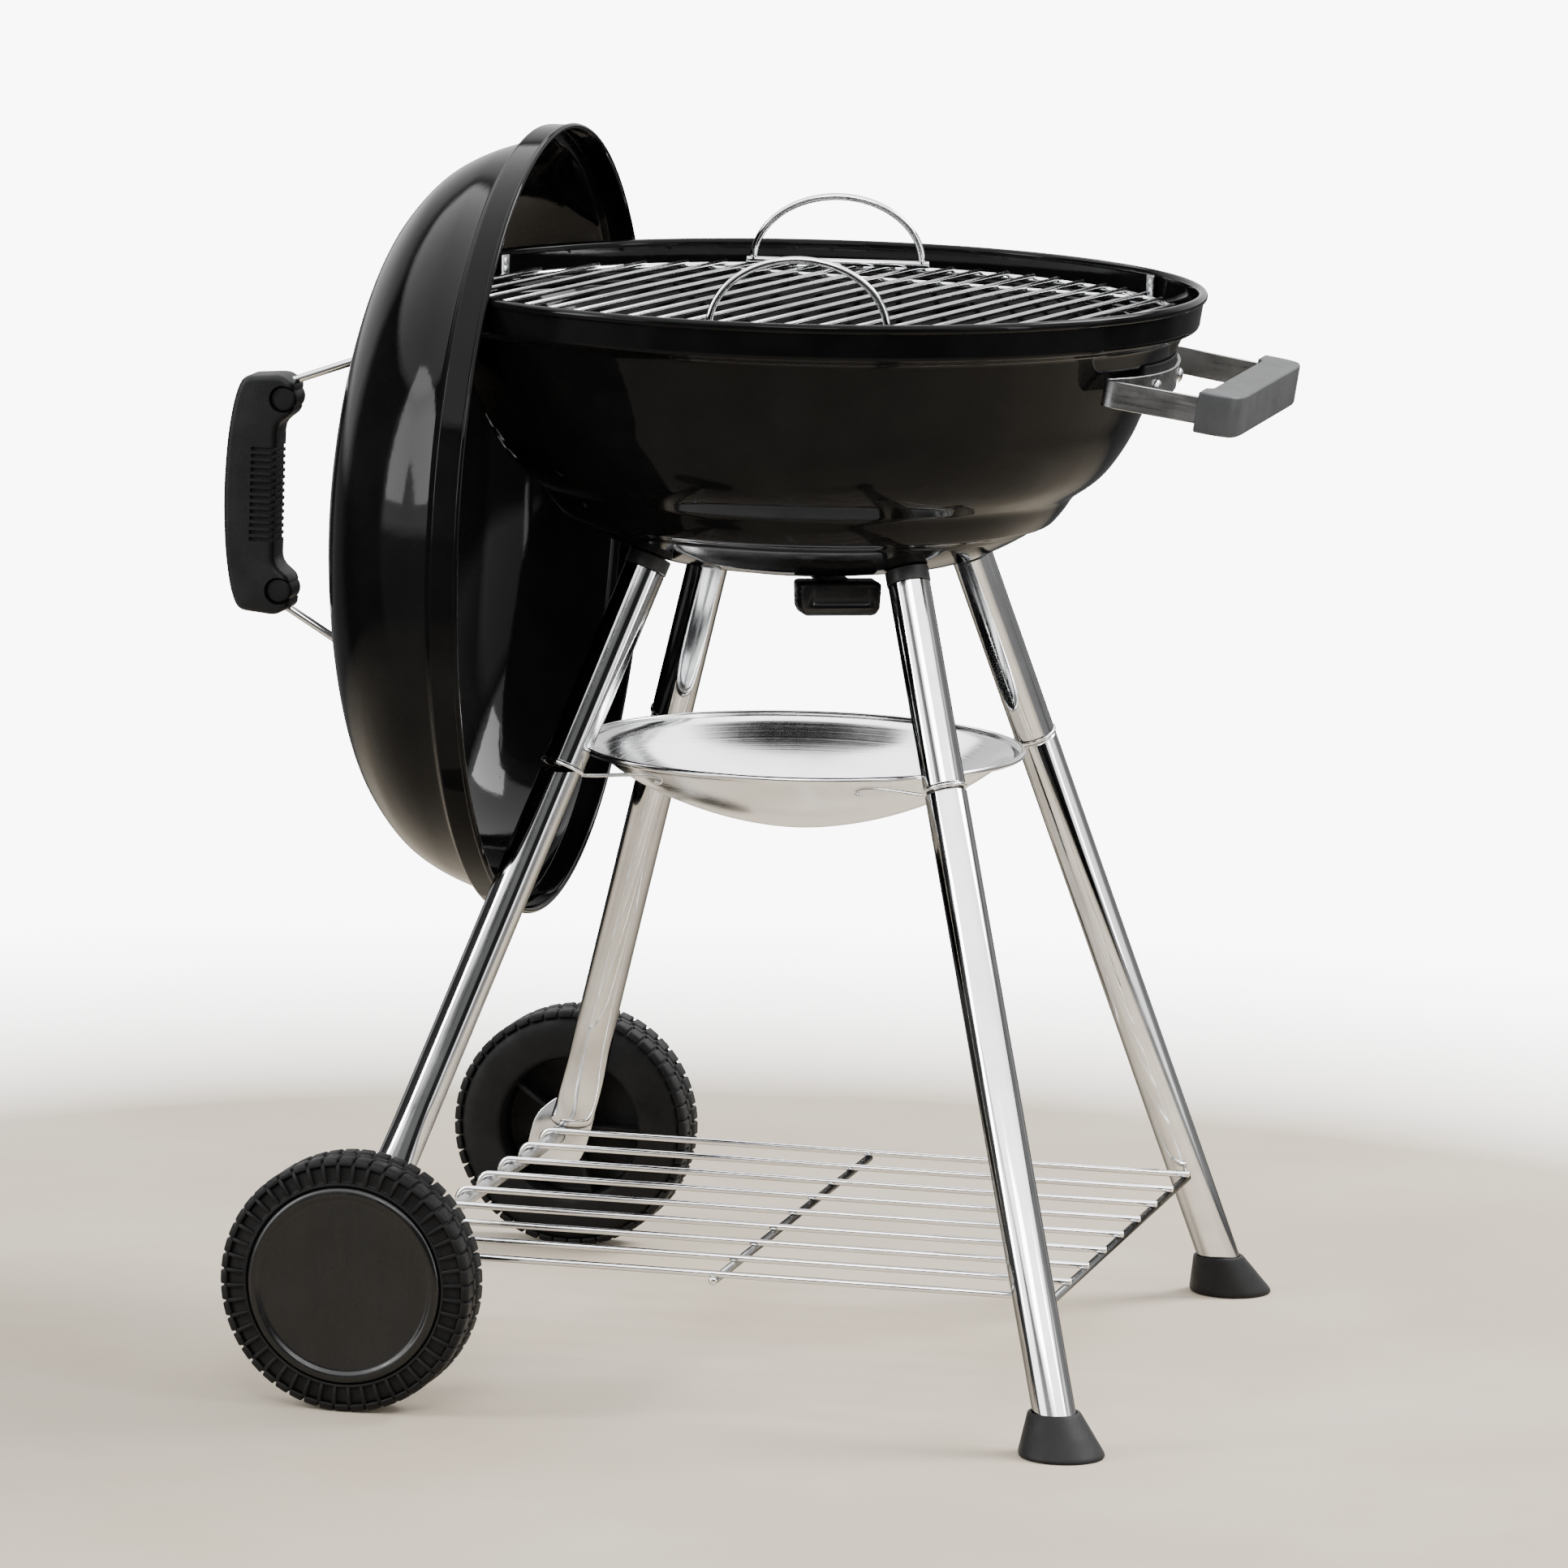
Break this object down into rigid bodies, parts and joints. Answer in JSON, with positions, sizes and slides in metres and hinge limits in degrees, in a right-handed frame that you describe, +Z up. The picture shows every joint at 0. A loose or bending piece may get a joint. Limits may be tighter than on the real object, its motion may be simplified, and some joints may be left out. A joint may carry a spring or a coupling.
{
  "type": "kettle charcoal grill",
  "caption": "Round kettle charcoal grill on splayed tube legs with two wheels, a wire rack, an ash dish, a cooking grate and a domed lid hung on the bowl's rim by its inside hook.",
  "frame": {"origin": "on the ground, below the centre of the whole grill's bounding box", "axes": "+Z up; +X from the hanging lid towards the side handle; +Y away from the viewer, along the axle"},
  "size_m": [0.637, 0.558, 0.7285],
  "materials": {
    "enamel": "gloss black porcelain enamel",
    "chrome": "bright chrome plating",
    "dish_steel": "polished plated steel",
    "bright_steel": "satin zinc plate",
    "strap_steel": "satin stainless",
    "black_steel": "satin black",
    "gloss_black_plastic": "gloss",
    "matte_black_plastic": "matte",
    "wheel_plastic": "matte, moulded tread",
    "lid_grip_plastic": "fine matte",
    "side_grip_plastic": "satin"
  },
  "bodies": {
    "stand": {"bowl": "enamel", "grate_bracket_right": "bright_steel", "grate_bracket_back": "bright_steel", "grate_bracket_front": "bright_steel", "damper_pivot_rivet": "bright_steel", "leg_socket_left_near": "black_steel", "leg_socket_left_far": "black_steel", "leg_socket_right_near": "black_steel", "leg_socket_right_far": "black_steel", "leg_bolt_left_near": "bright_steel", "leg_bolt_left_far": "bright_steel", "leg_bolt_right_near": "bright_steel", "leg_bolt_right_far": "bright_steel", "upper_leg_left_near": "chrome", "upper_leg_left_far": "chrome", "upper_leg_right_near": "chrome", "upper_leg_right_far": "chrome", "lower_leg_left_near": "chrome", "lower_leg_left_far": "chrome", "lower_leg_right_near": "chrome", "lower_leg_right_far": "chrome", "dish_clip_left_near": "bright_steel", "dish_clip_left_far": "bright_steel", "dish_clip_right_near": "bright_steel", "dish_clip_right_far": "bright_steel", "foot_cap_right_near": "matte_black_plastic", "foot_cap_right_far": "matte_black_plastic", "axle": "bright_steel", "axle_cap_near": "bright_steel", "axle_cap_far": "bright_steel", "axle_spacer_near": "bright_steel", "axle_spacer_far": "bright_steel", "bottom_rack": "chrome", "side_handle_strap": "strap_steel", "side_handle_block": "matte_black_plastic", "side_handle_bolt_near": "bright_steel", "side_handle_bolt_far": "bright_steel", "side_handle_grip": "side_grip_plastic"},
    "bottom_damper": {"damper_plate": "bright_steel", "damper_grip": "gloss_black_plastic"},
    "ash_catcher": {"ash_dish": "dish_steel"},
    "food_grate": {"cooking_grate": "chrome", "grate_handle_near": "chrome", "grate_handle_far": "chrome"},
    "coal_grate": {"charcoal_grate": "black_steel"},
    "hung_lid": {"lid": "enamel", "lid_hook": "bright_steel", "lid_handle_bail": "chrome", "lid_handle_grip": "lid_grip_plastic", "lid_grip_insert_upper": "matte_black_plastic", "lid_grip_insert_lower": "matte_black_plastic", "bail_nut_upper": "bright_steel", "bail_nut_lower": "bright_steel", "lid_vent_rivet": "bright_steel"},
    "lid_vent": {"lid_vent_plate": "bright_steel"},
    "near_wheel": {"wheel_near": "wheel_plastic", "hub_cap_near": "gloss_black_plastic"},
    "far_wheel": {"wheel_far": "wheel_plastic", "hub_cap_far": "gloss_black_plastic"}
  },
  "joints": [
    {"name": "lid_lift", "type": "slide", "parent": "stand", "child": "hung_lid", "axis": [-0.25, 0, 0.9682], "range_m": [0, 0.42]},
    {"name": "lid_vent_turn", "type": "hinge", "parent": "hung_lid", "child": "lid_vent", "pos_m": [-0.2282, 0.10372, 0.49298], "axis": [-0.9707, 0.24, 0.0084], "range_deg": [0, 45]},
    {"name": "cooking_grate_lift", "type": "slide", "parent": "stand", "child": "food_grate", "axis": [0.4, 0, 0.9165], "range_m": [0, 0.06]},
    {"name": "charcoal_grate_lift", "type": "slide", "parent": "stand", "child": "coal_grate", "axis": [0, 0, 1], "range_m": [0, 0.085]},
    {"name": "ash_dish_lift", "type": "slide", "parent": "stand", "child": "ash_catcher", "axis": [0, 0, 1], "range_m": [0, 0.02]},
    {"name": "damper_turn", "type": "hinge", "parent": "stand", "child": "bottom_damper", "pos_m": [0.03909, 0, 0.474], "axis": [0, 0, 1], "range_deg": [-45, 0]},
    {"name": "near_wheel_spin", "type": "hinge", "parent": "stand", "child": "near_wheel", "pos_m": [-0.1609, -0.259, 0.075], "axis": [0, 1, 0], "continuous": true},
    {"name": "far_wheel_spin", "type": "hinge", "parent": "stand", "child": "far_wheel", "pos_m": [-0.1609, 0.259, 0.075], "axis": [0, 1, 0], "continuous": true}
  ]
}
